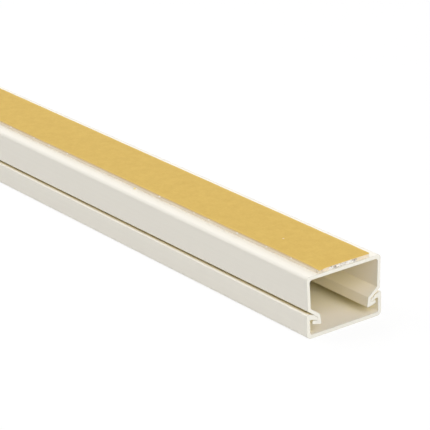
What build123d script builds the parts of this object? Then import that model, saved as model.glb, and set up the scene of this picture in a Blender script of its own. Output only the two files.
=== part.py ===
from build123d import *
import os
from itertools import pairwise
from math import cos, radians, tan

# Cord raceway in two PVC extrusions, a channel with an adhesive back and a cover that snaps into it.
# The stick lies on its cover. X runs along it, Y across it and Z up, and the origin is under the middle
# of the cover's face.

# Driving sizes, in millimetres and degrees
LENGTH = 400.0  # one stick, as it is sold
WIDTH = 25.0  # across the cover's flanges
HEIGHT = 17.3  # from the cover's face to the channel's back

# Cover
COVER_WALL = 1.1  # thickness of the face and the flanges
COVER_CORNER = 1.4  # outer radius between face and flange
COVER_INNER_CORNER = 0.6  # inner radius between face and flange
FLANGE_HEIGHT = 6.9  # from the cover's face to the top of a flange
FLANGE_ROUND = 0.5  # rounding of the flange's outer top edge

# Lip at the end of each flange, a wedge that points inwards and down
LIP_LAND = 1.4  # flat stretch on top of the flange, measured from its outside
LIP_REACH = 2.2  # from the flange's inside to the lip's tip
LIP_TIP = 0.65  # thickness at the tip
LIP_LEAD_ANGLE = 37.0  # slope of the upper face, which leads the lip past the foot
LIP_HOLD_ANGLE = 13.0  # slope of the lower face, which holds the cover on

# Channel
BASE_WALL = 1.0  # thickness of the back, walls, ledges, legs and feet
BASE_INSET = 0.1  # how far the back's edge lies inside the cover's side
WALL_LEAN = 2.0  # inward lean of the walls
LEG_LEAN = 8.0  # inward lean of the leg between ledge and foot
BACK_CORNER = 0.9  # outer radius between back and wall
BACK_INNER_CORNER = 0.8  # inner radius between back and wall
EDGE_ROUND = 0.3  # rounding of the small edges of both extrusions

# Fit of the cover in the channel
SNAP_GAP = 0.2  # room all round the lip in its groove
FOOT_GAP = 0.8  # room between a foot's tip and the flange

# Tape and its liner on the channel's back
TAPE_WIDTH = 17.5
TAPE_THICKNESS = 1.1
TAPE_SETBACK = 0.3  # the cut foam shrinks back this far from each end of the stick
LINER_INSET = 0.2  # the liner's long edges lie this far inside the tape's
LINER_THICKNESS = 0.15

LEVEL_TOLERANCE = 0.01  # corners this close to a height lie at that height
ROUND_SHARE = 0.4  # most of a thin edge that one rounding may take

# Places on the right half of the section, as distance from the middle line and height
flange_outside = WIDTH / 2
flange_inside = flange_outside - COVER_WALL
lip_shoulder = flange_outside - LIP_LAND
lip_tip = flange_inside - LIP_REACH
lip_tip_top = FLANGE_HEIGHT - (lip_shoulder - lip_tip) * tan(radians(LIP_LEAD_ANGLE))
lip_tip_low = lip_tip_top - LIP_TIP
lip_root_low = lip_tip_low + LIP_REACH * tan(radians(LIP_HOLD_ANGLE))


def slope(distance, height, angle):
    """A straight line of the section through a point, at an angle from the outward direction."""
    return Axis((distance, height, 0), Vector(1, 0, 0).rotate(Axis.Z, angle))


def thickened(line, wall):
    """The line that runs beside another at a wall's thickness, on its right-hand side."""
    return Axis(line.position + line.direction.rotate(Axis.Z, -90) * wall, line.direction)


def crossing(line, other):
    """The point where two lines of the section cross, as distance and height."""
    point = line.intersect(other)
    return point.X, point.Y


def mirrored(points):
    """The same points on the left half, in the order that continues the outline."""
    return [(-distance, height) for distance, height in reversed(points)]


def corners_at(section, height):
    """The corners of a section that lie at one height, from left to right."""
    level = section.vertices().filter_by_position(
        Axis.Y, height - LEVEL_TOLERANCE, height + LEVEL_TOLERANCE
    )
    return level.sort_by(Axis.X)


def cover_section():
    """A shallow U whose flanges end in wedge-shaped lips."""
    right_half = [
        (flange_outside, 0),
        (flange_outside, FLANGE_HEIGHT),
        (lip_shoulder, FLANGE_HEIGHT),
        (lip_tip, lip_tip_top),
        (lip_tip, lip_tip_low),
        (flange_inside, lip_root_low),
        (flange_inside, COVER_WALL),
    ]
    with BuildSketch() as section:
        with BuildLine():
            Polyline(*right_half, *mirrored(right_half), close=True)
        make_face()
        flange_tops = corners_at(section, FLANGE_HEIGHT)
        fillet([flange_tops[0], flange_tops[-1]], FLANGE_ROUND)
        lip_tips = corners_at(section, lip_tip_top) + corners_at(section, lip_tip_low)
        fillet(lip_tips, min(EDGE_ROUND, ROUND_SHARE * LIP_TIP))
        fillet(corners_at(section, lip_root_low), EDGE_ROUND)
        fillet(corners_at(section, COVER_WALL), COVER_INNER_CORNER)
        fillet(corners_at(section, 0), COVER_CORNER)
    return section.sketch


def base_section():
    """A channel of one wall thickness whose walls end in grooves that take the cover's lips."""
    # Outer lines from the middle of the back round to the foot, each along the direction of travel
    back = slope(0, HEIGHT, 0)
    wall = slope(flange_outside - BASE_INSET, HEIGHT, -90 - WALL_LEAN)
    ledge_height = FLANGE_HEIGHT + SNAP_GAP / cos(radians(LIP_LEAD_ANGLE))
    ledge = slope(lip_shoulder, ledge_height, 180 + LIP_LEAD_ANGLE)
    groove_root = crossing(ledge, slope(lip_tip - SNAP_GAP, 0, 90))
    leg = slope(*groove_root, -90 - LEG_LEAN)
    foot = slope(lip_tip, lip_tip_low - SNAP_GAP / cos(radians(LIP_HOLD_ANGLE)), LIP_HOLD_ANGLE)
    foot_end = slope(flange_inside - FOOT_GAP, 0, 90)
    outer_lines = [back, wall, ledge, leg, foot]
    inner_lines = [thickened(line, BASE_WALL) for line in outer_lines]
    outer_points = [crossing(*pair) for pair in pairwise([*outer_lines, foot_end])]
    inner_points = [crossing(*pair) for pair in pairwise([*inner_lines, foot_end])]
    right_half = [*outer_points, *reversed(inner_points)]

    with BuildSketch() as section:
        with BuildLine():
            Polyline(*right_half, *mirrored(right_half), close=True)
        make_face()
        hooks = section.vertices().filter_by_position(Axis.Y, 0, HEIGHT - BASE_WALL - LEVEL_TOLERANCE)
        fillet(hooks, min(EDGE_ROUND, ROUND_SHARE * BASE_WALL))
        fillet(corners_at(section, HEIGHT - BASE_WALL), BACK_INNER_CORNER)
        fillet(corners_at(section, HEIGHT), BACK_CORNER)
    return section.sketch


def extruded(section):
    """A section drawn along the whole stick."""
    return extrude(Plane.YZ.offset(-LENGTH / 2) * section, LENGTH)


def strip(length, width, thickness, bottom):
    """A flat strip along the middle of the channel's back, with its underside at a height."""
    return Pos(0, 0, bottom) * Box(length, width, thickness, align=(Align.CENTER, Align.CENTER, Align.MIN))


pieces = {
    "base_channel": extruded(base_section()),
    "snap_cover": extruded(cover_section()),
    "adhesive_tape": strip(LENGTH - 2 * TAPE_SETBACK, TAPE_WIDTH, TAPE_THICKNESS, HEIGHT),
    "release_liner": strip(
        LENGTH, TAPE_WIDTH - 2 * LINER_INSET, LINER_THICKNESS, HEIGHT + TAPE_THICKNESS
    ),
}

os.makedirs("parts", exist_ok=True)
for name, piece in pieces.items():
    piece.label = name
    export_step(piece, f"parts/{name}.step")
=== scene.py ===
"""A stick of two-piece PVC cord raceway: its looks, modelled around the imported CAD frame."""

from itertools import pairwise
from math import cos, radians, sin, tan
from random import Random

import bmesh
import bpy
from bpy.props import FloatProperty, FloatVectorProperty, PointerProperty
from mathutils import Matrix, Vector
from mathutils.geometry import intersect_line_line


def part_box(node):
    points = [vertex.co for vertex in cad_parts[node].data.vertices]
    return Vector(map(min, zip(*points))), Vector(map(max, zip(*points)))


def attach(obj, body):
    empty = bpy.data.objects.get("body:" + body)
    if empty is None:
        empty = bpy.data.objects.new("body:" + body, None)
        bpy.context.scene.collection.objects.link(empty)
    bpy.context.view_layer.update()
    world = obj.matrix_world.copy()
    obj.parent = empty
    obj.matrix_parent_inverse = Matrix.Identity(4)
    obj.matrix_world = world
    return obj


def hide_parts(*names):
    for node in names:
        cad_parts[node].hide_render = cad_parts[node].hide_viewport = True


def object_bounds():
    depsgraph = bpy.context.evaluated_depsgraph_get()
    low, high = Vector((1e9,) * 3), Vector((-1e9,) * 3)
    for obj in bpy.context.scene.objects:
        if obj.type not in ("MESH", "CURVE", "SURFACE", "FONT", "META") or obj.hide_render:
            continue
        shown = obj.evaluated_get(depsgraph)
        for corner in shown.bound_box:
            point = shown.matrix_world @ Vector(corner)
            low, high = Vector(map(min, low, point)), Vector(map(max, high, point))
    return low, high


bl_info = {
    "name": "Cord Raceway",
    "version": (1, 0, 0),
    "blender": (4, 5, 0),
    "location": "View3D > Sidebar > Raceway",
    "description": "Models a stick of PVC cord raceway around its CAD frame and sets up a studio",
    "category": "Add Mesh",
}

MM = 0.001  # one millimetre in Blender's metres
QUARTER = radians(90)  # a quarter turn

# How the meshes are made
TOLERANCE = 0.02 * MM  # a corner this close to a place lies there
SKIN_DEPTH = 0.95 * MM  # faces this close to the raceway's outline are its outside
FEWEST_FACETS = 4  # in a rounded corner of a section
FACETS_PER_MM = 8  # of a rounded corner's radius
BREAK_FACETS = ((0.3, 0.7), (0.7, 0.3))  # reach of a broken edge's facets over its width, in and out
SQUARE_ON = 0.99  # least part of a normal along the stick on a sawn face
TURNED = 0.2  # least part of a normal along an axis on a face that has turned that way
UPRIGHT = 0.5  # greatest upward part of a normal on the liner's cut edges
RUNS_ALONG = 0.9  # least part of an edge's length along the axis that it follows
PVC_CREASE = radians(35)  # edges sharper than this stay sharp on the extrusions
FOAM_CREASE = radians(60)  # and on the foam
PAPER_CREASE = radians(40)  # and on the liner
CUTS_PER_SLIT = 4  # to each wave of the foam's slit sides
CUTS_PER_CELL = 2  # to each cell of its sawn ends
CUTS_PER_NICK = 2  # to each nick of the liner's slit edges
CUTS_PER_SWELL = 8  # to each of its swells

# Patterns in the rigid PVC
DIE_LINE = 0.83 * MM  # width of the die's lines, drawn coarser than real ones so that they show
DIE_RUN = 500 * MM  # length of these lines
DIE_DEPTH = 0.02 * MM  # their depth
SAW_MARK = Vector((1.1, 2.0, 0.17)) * MM  # size of a saw mark along the stick, across it and up its end
SAW_DEPTH = 0.03 * MM  # its depth
# Painted bounce light on the PVC inside, warmer the more its walls shelter it
SHELTER_REACH = 25 * MM  # a wall this far off still shelters the PVC inside, for its painted bounce light
SHELTER_SAMPLES = 4  # rays that find how much air lies open round a spot
CLOSE_AIR = (0.26, 0.12)  # shares of open air where the painted warm bounce light on the PVC inside starts, and is strongest
OPEN_AIR = (0.55, 0.75)  # shares where the PVC inside starts to look as it does outside, and looks the same, with no painted bounce light

# Patterns in the release paper
BLOTCH = 2.2 * MM  # width of its blotches
FIBRE = 0.6 * MM  # length of its fibres, drawn coarser than real ones so that they show
FIBRE_DEPTH = 0.03 * MM  # their depth
FIBRE_SHARE = 0.45  # their part in its mottled look, beside the blotches
EDGE_HIGHLIGHT = 0.9 * MM  # width of the painted highlight beside its slit edges
EDGE_SHARE = 0.7  # how far it takes on the edge's colour there, in that painted highlight
SPECK = (177.4 * MM, -2.05 * MM)  # place of a pale speck on it, along the stick and across it
SPECK_RADIUS = 0.25 * MM

# Patterns in the foam
FOAM_PATCH = 4.0 * MM  # length of its denser patches
FOAM_CELL = 0.55 * MM  # width of its torn cells
FOAM_CELL_DEPTH = 0.08 * MM  # their depth
TOP_BAND_DEPTH = 0.5 * MM  # how far down its sides it turns darker and warmer towards its top edge
TORN_DEPTH = 0.7 * MM  # how far in from its ends the saw tore it
TORN_HALF = 5.0 * MM  # half the width of the torn stretch
TORN_RAGGED = 4.0 * MM  # how ragged the ends of the torn stretch are
DUST_RARITY = 3.0  # the higher, the fewer torn cells hold saw dust

# Adhesive crumbs that show along the tape's near edge, in millimetres: place along the stick and width
EDGE_CRUMBS = (
    (72.3, 0.5),
    (82.3, 0.5),
    (129.6, 0.6),
    (146.0, 0.4),
    (152.8, 0.5),
    (165.6, 0.5),
    (178.4, 0.5),
    (188.8, 0.4),
)
# Crumbs on the tape's sawn ends, in millimetres: place across the stick, width and whether it is dusty
END_CRUMBS = (
    (-6.9, 0.5, True),
    (-4.3, 0.6, False),
    (-2.9, 0.6, True),
    (-1.8, 0.8, False),
    (-0.6, 0.5, False),
    (0.9, 0.5, True),
    (2.0, 0.6, False),
    (3.3, 0.5, True),
    (4.2, 0.9, True),
)
EDGE_CRUMB_SHAPE = (1.3, 0.9, 0.6)  # a crumb's size over its width: along the stick, across and up
END_CRUMB_SHAPE = (0.6, 1.2, 0.7)  # the same on the sawn ends
END_CRUMB_HEIGHTS = (0.35, 0.6)  # least and greatest height of a crumb there over the tape's thickness
CRUMB_SEED = 7  # start of the chances by which the other crumbs are strewn
CRUMB_WIDTHS = (0.35 * MM, 0.6 * MM)  # least and greatest width of a strewn crumb
CRUMB_SPACING = (6 * MM, 22 * MM)  # least and greatest distance between strewn crumbs
CRUMB_LUMPS = 0.15  # depth of a crumb's lumps over its width
CRUMB_SUNK = 0.2 * MM  # how far a crumb's middle lies below the tape's upper edge or inside its end
PAPER_CRUMB = (118.0 * MM, -8.95 * MM)  # place of a crumb of liner on the channel's back
PAPER_CRUMB_RAISED = 0.2 * MM  # how far its middle lies above the back
PAPER_CRUMB_WIDTH = 0.6 * MM
CLEAN_CRUMBS = "acrylic_adhesive"  # names of the crumbs' finishes
DUSTY_CRUMBS = "dusty_acrylic_adhesive"
PAPER_CRUMBS = "crumbled_release_paper"

# Studio, in metres
FLOOR_WIDTH = 12
FLOOR_GLOW = 0.91  # light of its own with which the floor shows white outside the object's shadow
SOFTBOX_AIM = Vector((0.12, 0, 0))  # the place that the softboxes look at, under the stick's near half
SOFTBOX_DISTANCE = 1.2
SOFTBOX_WIDTH = 0.8
FRONT_WAY = Vector((0.75, -0.1, 0.65))  # the ways from there to each softbox
LOW_WAY = Vector((0.97, -0.1, 0.2))
NEAR_WAY = Vector((-0.5, -0.4, 0.75))
FAR_WAY = Vector((-0.6, 0.5, 0.6))

# Sockets of a Mix node, which share their names, by place
FACTOR = 0
NUMBER_A = 2
NUMBER_B = 3
COLOUR_A = 6
COLOUR_B = 7
MIXED_NUMBER = 0
MIXED_COLOUR = 2

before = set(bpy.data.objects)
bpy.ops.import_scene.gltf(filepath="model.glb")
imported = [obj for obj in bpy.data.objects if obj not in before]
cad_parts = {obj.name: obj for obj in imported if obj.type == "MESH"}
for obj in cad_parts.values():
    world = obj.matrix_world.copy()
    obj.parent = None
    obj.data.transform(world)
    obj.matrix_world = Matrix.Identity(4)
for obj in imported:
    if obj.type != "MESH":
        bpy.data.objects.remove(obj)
cad_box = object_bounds()
_, cover_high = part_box("snap_cover")
_, channel_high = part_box("base_channel")
tape_low, tape_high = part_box("adhesive_tape")
liner_low, liner_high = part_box("release_liner")


def srgb(code):
    """Turn an sRGB hex colour into the linear RGBA that Blender's shaders take."""
    values = [int(code[place : place + 2], 16) / 255 for place in (1, 3, 5)]
    linear = [v / 12.92 if v <= 0.04045 else ((v + 0.055) / 1.055) ** 2.4 for v in values]
    return (*linear, 1.0)


def length(name, millimetres, description):
    """A size that a user may change, written in millimetres."""
    return FloatProperty(
        name=name, description=description, default=millimetres * MM, unit="LENGTH", precision=5
    )


def angle(name, degrees, description):
    """A slope that a user may change, written in degrees."""
    return FloatProperty(name=name, description=description, default=radians(degrees), subtype="ANGLE")


def colour(name, code, description):
    """A colour that a user may change, written as an sRGB hex value."""
    return FloatVectorProperty(
        name=name, description=description, default=srgb(code), subtype="COLOR", size=4, min=0, max=1
    )


def power(name, watts, description):
    """A lamp's power that a user may change, written in watts."""
    return FloatProperty(name=name, description=description, default=watts, unit="POWER")


class RacewaySection(bpy.types.PropertyGroup):
    """Sizes of the two extrusions across the stick."""

    cover_wall: length("Cover wall", 1.1, "Thickness of the cover's face and flanges")
    cover_corner: length("Cover corner", 1.4, "Outer radius between the cover's face and a flange")
    cover_inner_corner: length("Cover inner corner", 0.6, "Inner radius between face and flange")
    flange_round: length("Flange round", 0.5, "Rounding of a flange's outer top edge")
    lip_land: length("Lip land", 0.65, "From a flange's outside to the start of its lip")
    lip_crest: length("Lip crest", 2.25, "From a flange's outside to where its lip meets the ledge")
    lip_hold: angle("Lip hold", 18, "Slope of a lip's lower face")
    snug: length("Snug", 0.025, "Room round a lip's tip in its groove")
    far_slack: length("Far slack", 0.3, "How much further the far lip lies below its ledge")
    channel_wall: length("Channel wall", 1.0, "Thickness of the channel all round")
    channel_inset: length("Channel inset", 0.1, "How far the back's edge lies inside the cover's side")
    wall_lean: angle("Wall lean", 2, "Inward lean of the channel's walls")
    leg_lean: angle("Leg lean", 8, "Inward lean of the leg between ledge and foot")
    back_corner: length("Back corner", 0.9, "Outer radius between back and wall")
    back_inner_corner: length("Back inner corner", 0.8, "Inner radius between back and wall")
    edge_round: length("Edge round", 0.3, "Rounding of the small edges")
    tip_round: length("Tip round", 0.26, "Rounding of a lip's tip")
    ledge_land: length("Ledge land", 1.4, "From the cover's side to where the ledge's height is taken")
    ledge_gap: length("Ledge gap", 0.25, "Height of the ledge over a flange's top at that place")
    ledge_slope: angle("Ledge slope", 37, "Slope of the ledge at the end of a channel wall")
    groove_depth: length("Groove depth", 3.5, "From the cover's side to the root of the groove")
    foot_height: length("Foot height", 4.57, "Height of the groove's lower face at its root")
    foot_slope: angle("Foot slope", 13, "Slope of the groove's lower face")
    foot_gap: length("Foot gap", 0.8, "Room between a foot's tip and the flange")
    cut_break: length("Cut break", 0.12, "Width of the broken edge round a sawn end")


class RacewayTape(bpy.types.PropertyGroup):
    """Sizes of the slit and sawn edges of the tape and its liner."""

    slit_wave: length("Slit wave", 3.0, "Length of the waves along the foam's slit sides")
    slit_depth: length("Slit depth", 0.3, "Depth of the waves along the foam's slit sides")
    cell_width: length("Cell width", 0.5, "Width of the foam's cells at its sawn ends")
    cell_depth: length("Cell depth", 0.45, "How deep the saw tore the cells at the foam's ends")
    nick_wave: length("Nick wave", 0.9, "Length of the nicks along the liner's slit edges")
    nick_depth: length("Nick depth", 0.22, "Depth of the nicks along the liner's slit edges")
    paper_wave: length("Paper wave", 9.0, "Length of the paper's swells over the foam")
    paper_swell: length("Paper swell", 0.06, "Depth of the paper's swells over the foam")
    clipped_corner: length("Clipped corner", 0.35, "Size of the liner's clipped corner")
    droop: length("Droop", 0.25, "How far the near front corner of the tape and its liner droops")
    droop_reach: length("Droop reach", 3.0, "How far from that corner they droop")
    drift: length("Drift", 0.25, "How far the tape lies off the middle, towards the far side")


class RacewayColours(bpy.types.PropertyGroup):
    """Colours of the finishes and of the studio."""

    ivory: colour("Ivory", "#EFEBE0", "Rigid PVC on the outside")
    ivory_deep: colour("Deep ivory", "#EBE6DA", "The same along the die's fainter lines")
    # Cream and milk are lighter, warmer copies of the same PVC: painted bounce light on the faces inside
    # and under the walls' overhang
    cream: colour("Cream", "#F6ECD9", "Rigid PVC inside the channel")
    cream_deep: colour("Deep cream", "#F3E8D3", "The same along the die's fainter lines")
    # Painted warm bounce light, where the walls shelter the PVC inside the channel
    cream_painted_bounce: colour("Warm cream", "#F6EBBC", "The same where the walls shelter it")
    milk: colour("Milk", "#FAF3E8", "Rigid PVC inside the cover")
    milk_deep: colour("Deep milk", "#F7EFE2", "The same along the die's fainter lines")
    # Painted warm bounce light, where the walls shelter the PVC inside the cover
    milk_painted_bounce: colour("Warm milk", "#FCF3C9", "The same where the walls shelter it")
    # Sawn ivory is darker than the skin: painted shade on the sawn ends, which the front softboxes light
    # strongly, over the saw's real dull finish
    sawn: colour("Sawn ivory", "#D9D6CB", "Rigid PVC, bruised pale by the saw")
    gold: colour("Gold", "#E1C164", "Release paper")
    gold_deep: colour("Deep gold", "#C9A148", "Release paper where its fibres lie close")
    # Gold edge is a lighter gold: a painted highlight beside the paper's slit edges
    gold_edge: colour("Gold edge", "#E5C56A", "Release paper beside its slit edges")
    straw: colour("Straw", "#EDE3A0", "Crumbs of release paper")
    paper: colour("Paper", "#E6D2A4", "Cut edge of the release paper")
    foam: colour("Foam", "#F9F0DF", "Foam tape")
    foam_deep: colour("Deep foam", "#E8D8C0", "Foam tape where it is less dense")
    # Darker and warmer than the foam, towards the top edge of its slit sides under the liner
    foam_top_band: colour("Glue", "#DCC394", "Adhesive layer at the foam's top edge")
    # Sawn foam and torn white are darkened copies of the foam and of the real drawn-out adhesive: painted
    # shade on the sawn ends, which the front softboxes light strongly
    foam_sawn: colour("Sawn foam", "#DACFBA", "Foam tape at its sawn ends")
    torn_white: colour("Torn white", "#E2E1DD", "Adhesive drawn out of the foam by the saw")
    torn_grey: colour("Torn grey", "#807D78", "Saw dust in the torn cells")
    floor_white: colour("Floor white", "#EDEDED", "White paper on the studio's floor")
    floor_shade: colour("Floor shade", "#595959", "The part of that white which a shadow takes away")
    air_white: colour("Air white", "#FFFFFF", "Light all round, and the backdrop")


class RacewayStudio(bpy.types.PropertyGroup):
    """Camera and lights."""

    camera_place: FloatVectorProperty(
        name="Camera place",
        description="Where the camera stands",
        default=(603.67 * MM, -331.47 * MM, 236.17 * MM),
        subtype="XYZ",
        unit="LENGTH",
        precision=5,
    )
    camera_turn: FloatVectorProperty(
        name="Camera turn",
        description="How the camera is turned",
        default=(radians(68.6524), radians(1.7781), radians(53.5087)),
        subtype="EULER",
    )
    lens: FloatProperty(name="Lens", description="Focal length", default=184.0, unit="CAMERA")
    sky: FloatProperty(name="Sky", description="Strength of the even light all round", default=0.22)
    front_power: power("Front power", 6.1, "Power of the softbox in front")
    low_power: power("Low power", 7.8, "Power of the low softbox that lights the inside")
    near_power: power("Near power", 6.4, "Power of the softbox on the camera's left")
    far_power: power("Far power", 3.3, "Power of the softbox behind the stick")


def add_node(tree, kind, inputs=None, **settings):
    """Add one node. An input that is given as a socket is linked, and any other value is set."""
    node = tree.nodes.new(kind)
    for name, value in settings.items():
        setattr(node, name, value)
    for name, value in (inputs or {}).items():
        if isinstance(value, bpy.types.NodeSocket):
            tree.links.new(value, node.inputs[name])
        else:
            node.inputs[name].default_value = value
    return node


def empty_tree(owner):
    """The node tree of a new material or world, with nothing in it."""
    owner.use_nodes = True
    owner.node_tree.nodes.clear()
    return owner.node_tree


def seen_directly(tree):
    """One for the camera's rays, straight, mirrored or through a clear piece, else zero."""
    ray = add_node(tree, "ShaderNodeLightPath").outputs
    seen = ray["Is Camera Ray"]
    for kind in ("Is Glossy Ray", "Is Transmission Ray"):
        seen = add_node(tree, "ShaderNodeMath", {0: seen, 1: ray[kind]}, operation="MAXIMUM").outputs[0]
    return seen


def paint_bounce_light(tree, tone, bounce_tints):
    """Paint bounce light into a colour: mix tints in, each by the share of open air that the walls leave
    round a spot.
    """
    shelter = add_node(
        tree, "ShaderNodeAmbientOcclusion", {"Distance": SHELTER_REACH}, samples=SHELTER_SAMPLES
    )
    for tint, (first, full) in bounce_tints:
        share = add_node(
            tree,
            "ShaderNodeMapRange",
            {"Value": shelter.outputs["AO"], "From Min": first, "From Max": full},
        )
        tone = add_node(
            tree,
            "ShaderNodeMix",
            {FACTOR: share.outputs[0], COLOUR_A: tone.outputs[MIXED_COLOUR], COLOUR_B: tint},
            data_type="RGBA",
        )
    return tone


def rigid_pvc(name, pale, deep, bounce_tints=()):
    """Rigid PVC as it leaves the die: satin, faintly lined along the stick, with painted bounce light by
    its shelter.
    """
    tree = empty_tree(bpy.data.materials.new(name))
    place = add_node(tree, "ShaderNodeTexCoord").outputs["Object"]
    scale = (1 / DIE_RUN, 1 / DIE_LINE, 1 / DIE_LINE)
    along = add_node(tree, "ShaderNodeMapping", {"Vector": place, "Scale": scale})
    lines = add_node(
        tree, "ShaderNodeTexNoise", {"Vector": along.outputs[0], "Scale": 1.0, "Detail": 3.0}
    ).outputs[0]
    tone = add_node(
        tree, "ShaderNodeMix", {FACTOR: lines, COLOUR_A: deep, COLOUR_B: pale}, data_type="RGBA"
    )
    if bounce_tints:
        tone = paint_bounce_light(tree, tone, bounce_tints)
    bump = add_node(tree, "ShaderNodeBump", {"Height": lines, "Strength": 0.15, "Distance": DIE_DEPTH})
    shader = add_node(
        tree,
        "ShaderNodeBsdfPrincipled",
        {
            "Base Color": tone.outputs[MIXED_COLOUR],
            "Roughness": 0.42,
            "IOR": 1.54,
            "Normal": bump.outputs[0],
        },
    )
    add_node(tree, "ShaderNodeOutputMaterial", {"Surface": shader.outputs[0]})


def sawn_pvc(colours):
    """Rigid PVC where a fine saw cut it: duller than the skin, and darker, a painted shade on the sawn
    ends under the strong front softboxes.
    """
    tree = empty_tree(bpy.data.materials.new("rigid_pvc_sawn"))
    place = add_node(tree, "ShaderNodeTexCoord").outputs["Object"]
    scale = [1 / size for size in SAW_MARK]
    strokes = add_node(tree, "ShaderNodeMapping", {"Vector": place, "Scale": scale})
    marks = add_node(
        tree, "ShaderNodeTexNoise", {"Vector": strokes.outputs[0], "Scale": 1.0, "Detail": 2.0}
    )
    bump = add_node(
        tree, "ShaderNodeBump", {"Height": marks.outputs[0], "Strength": 0.2, "Distance": SAW_DEPTH}
    )
    shader = add_node(
        tree,
        "ShaderNodeBsdfPrincipled",
        {"Base Color": colours.sawn, "Roughness": 0.6, "IOR": 1.54, "Normal": bump.outputs[0]},
    )
    add_node(tree, "ShaderNodeOutputMaterial", {"Surface": shader.outputs[0]})


def release_paper(colours, drift):
    """Siliconised release paper: golden and dull, mottled by fibres, with a painted highlight beside its
    slit edges.
    """
    tree = empty_tree(bpy.data.materials.new("siliconised_release_paper"))
    place = add_node(tree, "ShaderNodeTexCoord").outputs["Object"]
    blotches = add_node(
        tree, "ShaderNodeTexNoise", {"Vector": place, "Scale": 1 / BLOTCH, "Detail": 2.0}
    )
    fibres = add_node(tree, "ShaderNodeTexNoise", {"Vector": place, "Scale": 1 / FIBRE, "Detail": 3.0})
    mottle = add_node(
        tree,
        "ShaderNodeMix",
        {FACTOR: FIBRE_SHARE, NUMBER_A: blotches.outputs[0], NUMBER_B: fibres.outputs[0]},
        data_type="FLOAT",
    )
    tone = add_node(
        tree,
        "ShaderNodeMix",
        {FACTOR: mottle.outputs[MIXED_NUMBER], COLOUR_A: colours.gold_deep, COLOUR_B: colours.gold},
        data_type="RGBA",
    )
    # A painted highlight beside the slit edges
    centred = add_node(tree, "ShaderNodeMapping", {"Vector": place, "Location": (0, -drift, 0)})
    across = add_node(tree, "ShaderNodeSeparateXYZ", {"Vector": centred.outputs[0]})
    aside = add_node(tree, "ShaderNodeMath", {0: across.outputs["Y"]}, operation="ABSOLUTE")
    edge = add_node(
        tree,
        "ShaderNodeMapRange",
        {
            "Value": aside.outputs[0],
            "From Min": liner_high.y - EDGE_HIGHLIGHT,
            "From Max": liner_high.y,
            "To Max": EDGE_SHARE,
        },
    )
    painted_highlight = add_node(
        tree,
        "ShaderNodeMix",
        {FACTOR: edge.outputs[0], COLOUR_A: tone.outputs[MIXED_COLOUR], COLOUR_B: colours.gold_edge},
        data_type="RGBA",
    )
    speck = Vector((*SPECK, liner_high.z))
    far_off = add_node(tree, "ShaderNodeVectorMath", {0: place, 1: speck}, operation="DISTANCE")
    on_speck = add_node(
        tree, "ShaderNodeMath", {0: far_off.outputs["Value"], 1: SPECK_RADIUS}, operation="LESS_THAN"
    )
    specked = add_node(
        tree,
        "ShaderNodeMix",
        {FACTOR: on_speck.outputs[0], COLOUR_A: painted_highlight.outputs[MIXED_COLOUR], COLOUR_B: colours.foam_deep},
        data_type="RGBA",
    )
    bump = add_node(
        tree, "ShaderNodeBump", {"Height": fibres.outputs[0], "Strength": 0.15, "Distance": FIBRE_DEPTH}
    )
    shader = add_node(
        tree,
        "ShaderNodeBsdfPrincipled",
        {
            "Base Color": specked.outputs[MIXED_COLOUR],
            "Roughness": 0.65,
            "IOR": 1.45,
            "Specular IOR Level": 0.25,
            "Normal": bump.outputs[0],
        },
    )
    add_node(tree, "ShaderNodeOutputMaterial", {"Surface": shader.outputs[0]})


def cut_paper(colours):
    """The slit edge of the release paper: pale raw fibre under the golden coat."""
    tree = empty_tree(bpy.data.materials.new("cut_release_paper"))
    place = add_node(tree, "ShaderNodeTexCoord").outputs["Object"]
    fibres = add_node(tree, "ShaderNodeTexNoise", {"Vector": place, "Scale": 1 / FIBRE, "Detail": 3.0})
    tone = add_node(
        tree,
        "ShaderNodeMix",
        {FACTOR: fibres.outputs[0], COLOUR_A: colours.gold_deep, COLOUR_B: colours.paper},
        data_type="RGBA",
    )
    shader = add_node(
        tree,
        "ShaderNodeBsdfPrincipled",
        {"Base Color": tone.outputs[MIXED_COLOUR], "Roughness": 0.85, "IOR": 1.45},
    )
    add_node(tree, "ShaderNodeOutputMaterial", {"Surface": shader.outputs[0]})


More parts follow.
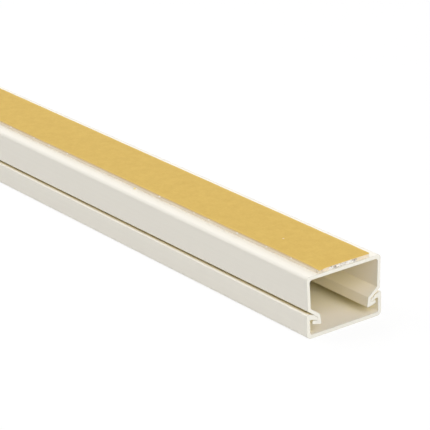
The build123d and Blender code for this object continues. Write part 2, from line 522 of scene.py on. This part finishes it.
def foam(colours):
    """Polyethylene foam: cream and dull, patchy along its slit sides and darker towards their top, torn
    white and grey by the saw, with painted shade on its sawn ends.
    """
    tree = empty_tree(bpy.data.materials.new("polyethylene_foam"))
    place = add_node(tree, "ShaderNodeTexCoord").outputs["Object"]
    patches = add_node(
        tree, "ShaderNodeTexNoise", {"Vector": place, "Scale": 1 / FOAM_PATCH, "Detail": 3.0}
    )
    tone = add_node(
        tree,
        "ShaderNodeMix",
        {FACTOR: patches.outputs[0], COLOUR_A: colours.foam_deep, COLOUR_B: colours.foam},
        data_type="RGBA",
    )
    # Along the slit sides, darker and warmer towards the top edge, under the liner
    parts = add_node(tree, "ShaderNodeSeparateXYZ", {"Vector": place})
    upper = add_node(
        tree,
        "ShaderNodeMapRange",
        {"Value": parts.outputs["Z"], "From Min": tape_high.z - TOP_BAND_DEPTH, "From Max": tape_high.z},
    )
    banded = add_node(
        tree,
        "ShaderNodeMix",
        {FACTOR: upper.outputs[0], COLOUR_A: tone.outputs[MIXED_COLOUR], COLOUR_B: colours.foam_top_band},
        data_type="RGBA",
    )
    # At the sawn ends, darker foam as painted shade, with a ragged stretch of torn cells, some of them
    # full of dust
    along = add_node(tree, "ShaderNodeMath", {0: parts.outputs["X"]}, operation="ABSOLUTE")
    at_end = add_node(
        tree,
        "ShaderNodeMath",
        {0: along.outputs[0], 1: tape_high.x - TORN_DEPTH},
        operation="GREATER_THAN",
    )
    whole = add_node(
        tree,
        "ShaderNodeMix",
        {FACTOR: at_end.outputs[0], COLOUR_A: banded.outputs[MIXED_COLOUR], COLOUR_B: colours.foam_sawn},
        data_type="RGBA",
    )
    cells = add_node(tree, "ShaderNodeTexVoronoi", {"Vector": place, "Scale": 1 / FOAM_CELL})
    chance = add_node(tree, "ShaderNodeSeparateColor", {"Color": cells.outputs["Color"]})
    dust = add_node(
        tree, "ShaderNodeMath", {0: chance.outputs["Red"], 1: DUST_RARITY}, operation="POWER"
    )
    torn = add_node(
        tree,
        "ShaderNodeMix",
        {FACTOR: dust.outputs[0], COLOUR_A: colours.torn_white, COLOUR_B: colours.torn_grey},
        data_type="RGBA",
    )
    aside = add_node(tree, "ShaderNodeMath", {0: parts.outputs["Y"]}, operation="ABSOLUTE")
    ragged = add_node(
        tree,
        "ShaderNodeMath",
        {0: patches.outputs[0], 1: TORN_RAGGED, 2: aside.outputs[0]},
        operation="MULTIPLY_ADD",
    )
    within = add_node(
        tree,
        "ShaderNodeMath",
        {0: ragged.outputs[0], 1: TORN_HALF + TORN_RAGGED / 2},
        operation="LESS_THAN",
    )
    where = add_node(
        tree, "ShaderNodeMath", {0: at_end.outputs[0], 1: within.outputs[0]}, operation="MULTIPLY"
    )
    mixed = add_node(
        tree,
        "ShaderNodeMix",
        {
            FACTOR: where.outputs[0],
            COLOUR_A: whole.outputs[MIXED_COLOUR],
            COLOUR_B: torn.outputs[MIXED_COLOUR],
        },
        data_type="RGBA",
    )
    bump = add_node(
        tree,
        "ShaderNodeBump",
        {"Height": cells.outputs["Distance"], "Strength": 0.3, "Distance": FOAM_CELL_DEPTH},
    )
    shader = add_node(
        tree,
        "ShaderNodeBsdfPrincipled",
        {
            "Base Color": mixed.outputs[MIXED_COLOUR],
            "Roughness": 0.75,
            "IOR": 1.48,
            "Specular IOR Level": 0.3,
            "Normal": bump.outputs[0],
        },
    )
    add_node(tree, "ShaderNodeOutputMaterial", {"Surface": shader.outputs[0]})


def crumbled(name, pale, deep):
    """Crumbs of adhesive or paper: white where clean, grey with saw dust, straw yellow if of paper."""
    tree = empty_tree(bpy.data.materials.new(name))
    place = add_node(tree, "ShaderNodeTexCoord").outputs["Object"]
    lumps = add_node(tree, "ShaderNodeTexNoise", {"Vector": place, "Scale": 1 / FIBRE, "Detail": 2.0})
    tone = add_node(
        tree,
        "ShaderNodeMix",
        {FACTOR: lumps.outputs[0], COLOUR_A: deep, COLOUR_B: pale},
        data_type="RGBA",
    )
    shader = add_node(
        tree,
        "ShaderNodeBsdfPrincipled",
        {"Base Color": tone.outputs[MIXED_COLOUR], "Roughness": 0.35, "IOR": 1.47},
    )
    add_node(tree, "ShaderNodeOutputMaterial", {"Surface": shader.outputs[0]})


def studio_white(colours):
    """White paper on the floor: matt, and shown white outside the object's shadow."""
    material = bpy.data.materials.new("studio_white")
    tree = empty_tree(material)
    paper = add_node(tree, "ShaderNodeBsdfDiffuse", {"Color": colours.floor_white})
    shade = add_node(tree, "ShaderNodeBsdfDiffuse", {"Color": colours.floor_shade})
    glow = add_node(tree, "ShaderNodeEmission", {"Color": colours.air_white, "Strength": FLOOR_GLOW})
    white = add_node(tree, "ShaderNodeAddShader", {0: shade.outputs[0], 1: glow.outputs[0]})
    both = add_node(
        tree, "ShaderNodeMixShader", {0: seen_directly(tree), 1: paper.outputs[0], 2: white.outputs[0]}
    )
    add_node(tree, "ShaderNodeOutputMaterial", {"Surface": both.outputs[0]})
    return material


def studio_air(colours, strength):
    """Even light all round, with a white backdrop for the camera."""
    world = bpy.data.worlds.new("studio_air")
    tree = empty_tree(world)
    sky = add_node(tree, "ShaderNodeBackground", {"Color": colours.air_white, "Strength": strength})
    backdrop = add_node(tree, "ShaderNodeBackground", {"Color": colours.air_white, "Strength": 1.0})
    both = add_node(
        tree, "ShaderNodeMixShader", {0: seen_directly(tree), 1: sky.outputs[0], 2: backdrop.outputs[0]}
    )
    add_node(tree, "ShaderNodeOutputWorld", {"Surface": both.outputs[0]})
    return world


def near(value, target):
    """Whether a corner's coordinate lies at a target."""
    return abs(value - target) < TOLERANCE


def pick(piece, kind, test):
    """In edit mode, select only the corners, edges or faces that pass a test."""
    bpy.ops.mesh.select_mode(type={"verts": "VERT", "edges": "EDGE", "faces": "FACE"}[kind])
    bpy.ops.mesh.select_all(action="DESELECT")
    shape = bmesh.from_edit_mesh(piece.data)
    picked = [element for element in getattr(shape, kind) if test(element)]
    if not picked:
        raise RuntimeError(f"{piece.name} has no {kind} at the place that is to be shaped")
    for element in picked:
        element.select_set(True)
    shape.select_flush_mode()
    bmesh.update_edit_mesh(piece.data)


def slope(distance, height, turn):
    """A straight line of the section through a point, at an angle from the outward direction."""
    point = Vector((0, distance, height))
    return point, point + Vector((0, cos(turn), sin(turn)))


def thickened(line, wall):
    """The line that runs beside another at a wall's thickness, on its right-hand side."""
    start, end = line
    along = (end - start).normalized()
    aside = Vector((0, along.z, -along.y)) * wall
    return start + aside, end + aside


def crossing(line, other):
    """The point where two lines of the section cross."""
    return intersect_line_line(*line, *other)[0]


def both_halves(right_half, left_half):
    """The corners of a whole section, from those of its two halves as drawn on the right."""
    mirrored = [(Vector((0, -place.y, place.z)), radius) for place, radius in reversed(left_half)]
    return [*right_half, *mirrored]


def groove_lines(section):
    """The lines of a snap groove in the channel: its ledge, its leg and its foot."""
    ledge_place = cover_high.y - section.ledge_land
    ledge_height = cover_high.z + section.ledge_gap
    ledge = slope(ledge_place, ledge_height, 2 * QUARTER + section.ledge_slope)
    root = cover_high.y - section.groove_depth
    corner = crossing(ledge, slope(root, 0, QUARTER))
    leg = slope(corner.y, corner.z, -QUARTER - section.leg_lean)
    foot = slope(root, section.foot_height, section.foot_slope)
    return ledge, leg, foot


def cover_half(section, slack):
    """Right half of the cover's section: a flange and its lip, with slack between lip and ledge."""
    outside = cover_high.y
    inside = outside - section.cover_wall
    top = cover_high.z
    ledge, leg, foot = groove_lines(section)
    upper = thickened(ledge, -section.snug - slack)
    end = thickened(leg, -section.snug)
    lower = thickened(foot, -section.snug)
    crest = crossing(upper, slope(outside - section.lip_crest, 0, QUARTER))
    tip_low = crossing(end, lower)
    root_low = crossing(slope(tip_low.y, tip_low.z, section.lip_hold), slope(inside, 0, QUARTER))
    return [
        (Vector((0, outside, 0)), section.cover_corner),
        (Vector((0, outside, top)), section.flange_round),
        (Vector((0, outside - section.lip_land, top)), section.edge_round),
        (crest, section.edge_round),
        (crossing(upper, end), section.tip_round),
        (tip_low, section.tip_round),
        (root_low, section.edge_round),
        (Vector((0, inside, section.cover_wall)), section.cover_inner_corner),
    ]


def cover_corners(section):
    """Corners of the cover's section with their radii: a shallow U, pressed home on its near side."""
    return both_halves(cover_half(section, section.far_slack), cover_half(section, 0))


def channel_corners(section):
    """Corners of the channel's section with their radii: one wall thickness, ending in two grooves."""
    back = slope(0, channel_high.z, 0)
    side = cover_high.y - section.channel_inset
    wall = slope(side, channel_high.z, -QUARTER - section.wall_lean)
    foot_end = slope(cover_high.y - section.cover_wall - section.foot_gap, 0, QUARTER)
    outer_lines = [back, wall, *groove_lines(section)]
    inner_lines = [thickened(line, section.channel_wall) for line in outer_lines]
    outer = [crossing(*pair) for pair in pairwise([*outer_lines, foot_end])]
    inner = [crossing(*pair) for pair in pairwise([*inner_lines, foot_end])]
    small = section.edge_round
    outer_half = list(zip(outer, [section.back_corner, small, small, small, small]))
    inner_half = list(zip(inner, [section.back_inner_corner, small, small, small, small]))
    half = [*outer_half, *reversed(inner_half)]
    return both_halves(half, half)


def draw_section(name, corners, at_x):
    """Draw a section across the stick corner by corner, fill it and round each corner to its radius."""
    bpy.ops.object.select_all(action="DESELECT")
    start = corners[0][0]
    bpy.ops.mesh.primitive_plane_add(size=MM, location=(at_x, start.y, start.z))
    bpy.ops.object.transform_apply(location=True, rotation=False, scale=False)
    piece = bpy.context.object
    piece.name = name
    piece.data.name = name
    bpy.ops.object.mode_set(mode="EDIT")
    bpy.ops.mesh.select_mode(type="VERT")
    bpy.ops.mesh.select_all(action="SELECT")
    bpy.ops.mesh.merge(type="CENTER")
    for here, there in pairwise(place for place, _ in corners):
        bpy.ops.mesh.extrude_vertices_move(TRANSFORM_OT_translate={"value": there - here})
    bpy.ops.mesh.select_all(action="SELECT")
    bpy.ops.mesh.edge_face_add()
    neighbours = zip([corners[-1], *corners[:-1]], corners, [*corners[1:], corners[0]])
    for (before, _), (place, radius), (after, _) in neighbours:
        opening = (before - place).angle(after - place)
        spot = Vector((at_x, place.y, place.z))
        pick(piece, "verts", lambda corner: near((corner.co - spot).length, 0))
        bpy.ops.mesh.bevel(
            affect="VERTICES",
            offset=radius / tan(opening / 2),
            segments=max(FEWEST_FACETS, round(FACETS_PER_MM * radius / MM)),
            profile=0.5,
            clamp_overlap=False,
        )
    return piece


def on_skin(spot):
    """Whether a spot lies on the outside of the closed raceway."""
    at_side = abs(spot.y) > cover_high.y - SKIN_DEPTH
    return at_side or not SKIN_DEPTH < spot.z < channel_high.z - SKIN_DEPTH


def is_inside(face):
    """Whether a face lies inside the raceway, or overhangs the gap beside its flanges: the faces that
    take the lighter, warmer copy of the PVC, painted bounce light and shade.
    """
    spot = face.calc_center_median()
    overhangs = face.normal.z < -TURNED and spot.z > cover_high.z
    return overhangs or not on_skin(spot)


def assign_selected(piece, finish):
    """In edit mode, give the selected faces one of the piece's finishes."""
    piece.active_material_index = piece.data.materials.find(finish)
    bpy.ops.object.material_slot_assign()


def extrude_stick(name, corners, cut_break, inside):
    """Draw a section along the stick, break the edges of its sawn ends and give it its finishes."""
    low, high = cad_box
    near_end = high.x - cut_break
    piece = draw_section(name, corners, near_end)
    bpy.ops.mesh.select_all(action="SELECT")
    run = low.x + cut_break - near_end
    bpy.ops.mesh.extrude_region_move(TRANSFORM_OT_translate={"value": (run, 0, 0)})
    bpy.ops.mesh.select_all(action="SELECT")
    bpy.ops.mesh.normals_make_consistent(inside=False)
    for inwards, outwards in BREAK_FACETS:
        pick(piece, "faces", lambda face: abs(face.normal.x) > SQUARE_ON)
        bpy.ops.mesh.inset(thickness=inwards * cut_break, depth=outwards * cut_break)
    for finish in ("rigid_pvc_outside", inside, "rigid_pvc_sawn"):
        piece.data.materials.append(bpy.data.materials[finish])
    # Faces inside and under the walls' overhang take the copy of the PVC with painted bounce light
    pick(piece, "faces", is_inside)
    assign_selected(piece, inside)
    pick(piece, "faces", lambda face: abs(face.normal.x) > TURNED)
    assign_selected(piece, "rigid_pvc_sawn")
    return piece


def smooth(piece, crease):
    """Shade a piece smooth across its rounded edges and keep its flat faces flat."""
    bpy.ops.object.mode_set(mode="OBJECT")
    bpy.ops.object.shade_smooth_by_angle(angle=crease)
    bpy.ops.object.modifier_add(type="WEIGHTED_NORMAL")
    piece.modifiers[-1].keep_sharp = True
    bpy.ops.object.modifier_apply(modifier=piece.modifiers[-1].name)


def stand_for(piece, node, body):
    """Let a finished piece take a CAD node's place on its body."""
    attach(piece, body)
    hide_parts(node)


def strip(name, low, high):
    """A flat strip that fills a box, in edit mode."""
    bpy.ops.object.select_all(action="DESELECT")
    bpy.ops.mesh.primitive_cube_add(size=1, location=(low + high) / 2, scale=high - low)
    bpy.ops.object.transform_apply(location=True, rotation=True, scale=True)
    piece = bpy.context.object
    piece.name = name
    piece.data.name = name
    bpy.ops.object.mode_set(mode="EDIT")
    return piece


def cut_edges(piece, axis, spacing, test=lambda edge: True):
    """In edit mode, cut the edges that run along an axis into equal lengths of about a spacing."""

    def runs_along(edge):
        way = edge.verts[1].co - edge.verts[0].co
        return abs(way["XYZ".index(axis)]) > RUNS_ALONG * way.length and test(edge)

    pick(piece, "edges", runs_along)
    shape = bmesh.from_edit_mesh(piece.data)
    longest = max(edge.calc_length() for edge in shape.edges if edge.select)
    bpy.ops.mesh.subdivide(number_cuts=round(longest / spacing) - 1)


def roughen(piece, name, test, axis, depth, wave):
    """Push the corners that pass a test along an axis, by a cloudy pattern of a wavelength."""
    bpy.ops.object.mode_set(mode="EDIT")
    pick(piece, "verts", test)
    bpy.ops.object.vertex_group_assign_new()
    piece.vertex_groups.active.name = name
    bpy.ops.object.mode_set(mode="OBJECT")
    pattern = bpy.data.textures.new(name, "CLOUDS")
    pattern.noise_scale = wave
    pattern.noise_depth = 1
    bpy.ops.object.modifier_add(type="DISPLACE")
    push = piece.modifiers[-1]
    push.texture = pattern
    push.texture_coords = "LOCAL"
    push.vertex_group = name
    push.direction = axis
    push.mid_level = 0.0
    push.strength = depth
    bpy.ops.object.modifier_apply(modifier=push.name)


def droop(piece, low, high, tape):
    """In edit mode, let the near front corner of a strip's top droop."""
    corner = Vector((high.x, low.y, high.z))
    pick(piece, "verts", lambda vertex: near((vertex.co - corner).length, 0))
    bpy.ops.transform.translate(
        value=(0, 0, -tape.droop),
        use_proportional_edit=True,
        proportional_edit_falloff="SMOOTH",
        proportional_size=tape.droop_reach,
    )


def lay_aside(piece, drift):
    """Move a finished strip off the middle of the channel's back."""
    bpy.ops.object.mode_set(mode="EDIT")
    bpy.ops.mesh.select_all(action="SELECT")
    bpy.ops.transform.translate(value=(0, drift, 0))
    bpy.ops.object.mode_set(mode="OBJECT")


def crumb(place, width, shape, finish, seed):
    """In edit mode, add one lumpy crumb with one of the piece's finishes."""
    bpy.ops.mesh.primitive_ico_sphere_add(subdivisions=2, radius=width / 2, location=place, scale=shape)
    bpy.ops.transform.vertex_random(offset=CRUMB_LUMPS * width, seed=seed)
    assign_selected(bpy.context.object, finish)


def strewn_crumbs(drift):
    """Place, width, shape and finish of every crumb, first those along the edges."""
    chance = Random(CRUMB_SEED)
    height = tape_high.z - CRUMB_SUNK
    near_edge = tape_low.y + drift
    far_edge = tape_high.y + drift
    crumbs = [
        ((x * MM, near_edge, height), width * MM, EDGE_CRUMB_SHAPE, CLEAN_CRUMBS)
        for x, width in EDGE_CRUMBS
    ]
    first_listed = EDGE_CRUMBS[0][0] * MM
    for y, last in ((near_edge, first_listed - CRUMB_SPACING[0]), (far_edge, tape_high.x)):
        x = tape_low.x + chance.uniform(*CRUMB_SPACING)
        while x < last:
            width = chance.uniform(*CRUMB_WIDTHS)
            crumbs.append(((x, y, height), width, EDGE_CRUMB_SHAPE, CLEAN_CRUMBS))
            x += chance.uniform(*CRUMB_SPACING)
    for x in (tape_low.x + CRUMB_SUNK, tape_high.x - CRUMB_SUNK):
        for y, width, dusty in END_CRUMBS:
            z = tape_low.z + chance.uniform(*END_CRUMB_HEIGHTS) * (tape_high.z - tape_low.z)
            finish = DUSTY_CRUMBS if dusty else CLEAN_CRUMBS
            crumbs.append(((x, y * MM, z), width * MM, END_CRUMB_SHAPE, finish))
    paper_place = (*PAPER_CRUMB, channel_high.z + PAPER_CRUMB_RAISED)
    crumbs.append((paper_place, PAPER_CRUMB_WIDTH, EDGE_CRUMB_SHAPE, PAPER_CRUMBS))
    return crumbs


def hang_softbox(name, way, watts):
    """Hang one square softbox that looks at the stick's near half."""
    place = SOFTBOX_AIM + way.normalized() * SOFTBOX_DISTANCE
    bpy.ops.object.light_add(type="AREA", location=place)
    lamp = bpy.context.object
    lamp.name = name
    lamp.data.energy = watts
    lamp.data.size = SOFTBOX_WIDTH
    lamp.rotation_euler = (place - SOFTBOX_AIM).to_track_quat("Z", "Y").to_euler()


class RACEWAY_OT_finishes(bpy.types.Operator):
    """Mix the finishes of all the pieces"""

    bl_idname = "raceway.finishes"
    bl_label = "Finishes"

    def execute(self, context):
        colours = context.scene.raceway_colours
        rigid_pvc("rigid_pvc_outside", colours.ivory, colours.ivory_deep)
        # The copies inside get painted bounce light: warm where the walls shelter them, the outside ivory
        # where open air lies round them
        for name, pale, deep, painted_bounce in (
            ("rigid_pvc_inside_channel", colours.cream, colours.cream_deep, colours.cream_painted_bounce),
            ("rigid_pvc_inside_cover", colours.milk, colours.milk_deep, colours.milk_painted_bounce),
        ):
            rigid_pvc(name, pale, deep, [(painted_bounce, CLOSE_AIR), (colours.ivory, OPEN_AIR)])
        sawn_pvc(colours)
        cut_paper(colours)
        foam(colours)
        release_paper(colours, context.scene.raceway_tape.drift)
        crumbled(CLEAN_CRUMBS, colours.torn_white, colours.foam)
        crumbled(DUSTY_CRUMBS, colours.foam_deep, colours.torn_grey)
        crumbled(PAPER_CRUMBS, colours.straw, colours.gold_edge)
        return {"FINISHED"}


class RACEWAY_OT_channel(bpy.types.Operator):
    """Extrude the channel with its two grooves and saw it to length"""

    bl_idname = "raceway.channel"
    bl_label = "Channel"

    def execute(self, context):
        section = context.scene.raceway_section
        piece = extrude_stick(
            "channel_extrusion", channel_corners(section), section.cut_break, "rigid_pvc_inside_channel"
        )
        smooth(piece, PVC_CREASE)
        stand_for(piece, "base_channel", "channel")
        return {"FINISHED"}


class RACEWAY_OT_cover(bpy.types.Operator):
    """Extrude the cover with its two lips and saw it to length"""

    bl_idname = "raceway.cover"
    bl_label = "Cover"

    def execute(self, context):
        section = context.scene.raceway_section
        piece = extrude_stick(
            "cover_extrusion", cover_corners(section), section.cut_break, "rigid_pvc_inside_cover"
        )
        smooth(piece, PVC_CREASE)
        stand_for(piece, "snap_cover", "cover")
        return {"FINISHED"}


class RACEWAY_OT_foam_tape(bpy.types.Operator):
    """Lay the foam tape on the channel's back, wavy along its slit sides and torn at its sawn ends"""

    bl_idname = "raceway.foam_tape"
    bl_label = "Foam tape"

    def execute(self, context):
        tape = context.scene.raceway_tape
        piece = strip("foam_tape", tape_low, tape_high)

        def at_end(edge):
            return all(near(abs(corner.co.x), tape_high.x) for corner in edge.verts)

        cut_edges(piece, "X", tape.slit_wave / CUTS_PER_SLIT)
        cut_edges(piece, "Z", tape.cell_width / CUTS_PER_CELL)
        cut_edges(piece, "Y", tape.cell_width / CUTS_PER_CELL, at_end)
        droop(piece, tape_low, tape_high, tape)
        # The droop takes the underside with it, which is pressed flat again
        pick(piece, "verts", lambda corner: corner.co.z < tape_low.z + TOLERANCE)
        bpy.ops.transform.resize(value=(1, 1, 0), center_override=(0, 0, tape_low.z))
        for side in (-1, 1):
            roughen(
                piece,
                f"slit_side_{side}",
                lambda corner: near(corner.co.y, side * tape_high.y),
                "Y",
                -side * tape.slit_depth,
                tape.slit_wave,
            )
            roughen(
                piece,
                f"sawn_end_{side}",
                lambda corner: near(corner.co.x, side * tape_high.x),
                "X",
                -side * tape.cell_depth,
                tape.cell_width,
            )
        lay_aside(piece, tape.drift)
        bpy.ops.object.shade_smooth_by_angle(angle=FOAM_CREASE)
        piece.data.materials.append(bpy.data.materials["polyethylene_foam"])
        stand_for(piece, "adhesive_tape", "channel")
        return {"FINISHED"}


class RACEWAY_OT_crumbs(bpy.types.Operator):
    """Strew crumbs of adhesive along the tape's edges and ends, and one of paper beside it"""

    bl_idname = "raceway.crumbs"
    bl_label = "Adhesive crumbs"

    def execute(self, context):
        # A first ball makes the mesh and is deleted, so that every crumb is added in edit mode
        bpy.ops.object.select_all(action="DESELECT")
        bpy.ops.mesh.primitive_ico_sphere_add(subdivisions=1, radius=CRUMB_SUNK)
        piece = context.object
        piece.name = "adhesive_crumbs"
        piece.data.name = "adhesive_crumbs"
        for finish in (CLEAN_CRUMBS, DUSTY_CRUMBS, PAPER_CRUMBS):
            piece.data.materials.append(bpy.data.materials[finish])
        bpy.ops.object.mode_set(mode="EDIT")
        bpy.ops.mesh.select_all(action="SELECT")
        bpy.ops.mesh.delete(type="VERT")
        for seed, details in enumerate(strewn_crumbs(context.scene.raceway_tape.drift)):
            crumb(*details, seed)
        bpy.ops.object.mode_set(mode="OBJECT")
        bpy.ops.object.shade_smooth()
        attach(piece, "channel")
        return {"FINISHED"}


class RACEWAY_OT_liner(bpy.types.Operator):
    """Lay the release liner on the tape, with nicked slit edges, a clipped corner and a drooping one"""

    bl_idname = "raceway.liner"
    bl_label = "Release liner"

    def execute(self, context):
        tape = context.scene.raceway_tape
        piece = strip("release_paper", liner_low, liner_high)

        def at_far_corner(edge):
            ends = [corner.co for corner in edge.verts]
            return all(near(end.x, liner_high.x) and near(end.y, liner_high.y) for end in ends)

        pick(piece, "edges", at_far_corner)
        bpy.ops.mesh.bevel(affect="EDGES", offset=tape.clipped_corner, segments=1)
        cut_edges(piece, "X", tape.nick_wave / CUTS_PER_NICK)
        cut_edges(piece, "Y", tape.paper_wave / CUTS_PER_SWELL)
        droop(piece, liner_low, liner_high, tape)
        roughen(
            piece,
            "swells",
            lambda corner: near(corner.co.z, liner_high.z),
            "Z",
            -tape.paper_swell,
            tape.paper_wave,
        )
        for side in (-1, 1):
            roughen(
                piece,
                f"slit_edge_{side}",
                lambda corner: near(corner.co.y, side * liner_high.y),
                "Y",
                -side * tape.nick_depth,
                tape.nick_wave,
            )
        bpy.ops.object.mode_set(mode="EDIT")
        for finish in ("siliconised_release_paper", "cut_release_paper"):
            piece.data.materials.append(bpy.data.materials[finish])
        pick(piece, "faces", lambda face: abs(face.normal.z) < UPRIGHT)
        assign_selected(piece, "cut_release_paper")
        lay_aside(piece, tape.drift)
        bpy.ops.object.shade_smooth_by_angle(angle=PAPER_CREASE)
        stand_for(piece, "release_liner", "channel")
        return {"FINISHED"}


class RACEWAY_OT_studio(bpy.types.Operator):
    """Lay a white floor, hang the lights and stand the camera"""

    bl_idname = "raceway.studio"
    bl_label = "Studio"

    def execute(self, context):
        colours = context.scene.raceway_colours
        studio = context.scene.raceway_studio
        bpy.ops.object.select_all(action="DESELECT")
        bpy.ops.mesh.primitive_plane_add(size=FLOOR_WIDTH)
        floor = context.object
        floor.name = "studio_floor"
        floor.data.materials.append(studio_white(colours))

        context.scene.world = studio_air(colours, studio.sky)
        hang_softbox("front_softbox", FRONT_WAY, studio.front_power)
        hang_softbox("low_softbox", LOW_WAY, studio.low_power)
        hang_softbox("near_softbox", NEAR_WAY, studio.near_power)
        hang_softbox("far_softbox", FAR_WAY, studio.far_power)

        bpy.ops.object.camera_add(location=studio.camera_place, rotation=studio.camera_turn)
        camera = context.object
        camera.name = "camera"
        camera.data.lens = studio.lens
        context.scene.camera = camera
        context.scene.view_settings.view_transform = "Standard"
        return {"FINISHED"}


class RACEWAY_PT_panel(bpy.types.Panel):
    """The steps that model the raceway and its studio, in order"""

    bl_label = "Cord Raceway"
    bl_idname = "RACEWAY_PT_panel"
    bl_space_type = "VIEW_3D"
    bl_region_type = "UI"
    bl_category = "Raceway"

    def draw(self, context):
        for step in STEPS:
            self.layout.operator(step.bl_idname)


SETTINGS = {
    "raceway_section": RacewaySection,
    "raceway_tape": RacewayTape,
    "raceway_colours": RacewayColours,
    "raceway_studio": RacewayStudio,
}
STEPS = (
    RACEWAY_OT_finishes,
    RACEWAY_OT_channel,
    RACEWAY_OT_cover,
    RACEWAY_OT_foam_tape,
    RACEWAY_OT_crumbs,
    RACEWAY_OT_liner,
    RACEWAY_OT_studio,
)
CLASSES = (*SETTINGS.values(), *STEPS, RACEWAY_PT_panel)


def register():
    """Make the classes known to Blender and give each scene its settings."""
    for made in CLASSES:
        bpy.utils.register_class(made)
    for name, group in SETTINGS.items():
        setattr(bpy.types.Scene, name, PointerProperty(type=group))


def unregister():
    """Take the settings and the classes away again."""
    for name in SETTINGS:
        delattr(bpy.types.Scene, name)
    for made in reversed(CLASSES):
        bpy.utils.unregister_class(made)


def main():
    """Model every piece and the studio."""
    register()
    bpy.ops.raceway.finishes()
    bpy.ops.raceway.channel()
    bpy.ops.raceway.cover()
    bpy.ops.raceway.foam_tape()
    bpy.ops.raceway.crumbs()
    bpy.ops.raceway.liner()
    bpy.ops.raceway.studio()


if __name__ == "__main__":
    main()
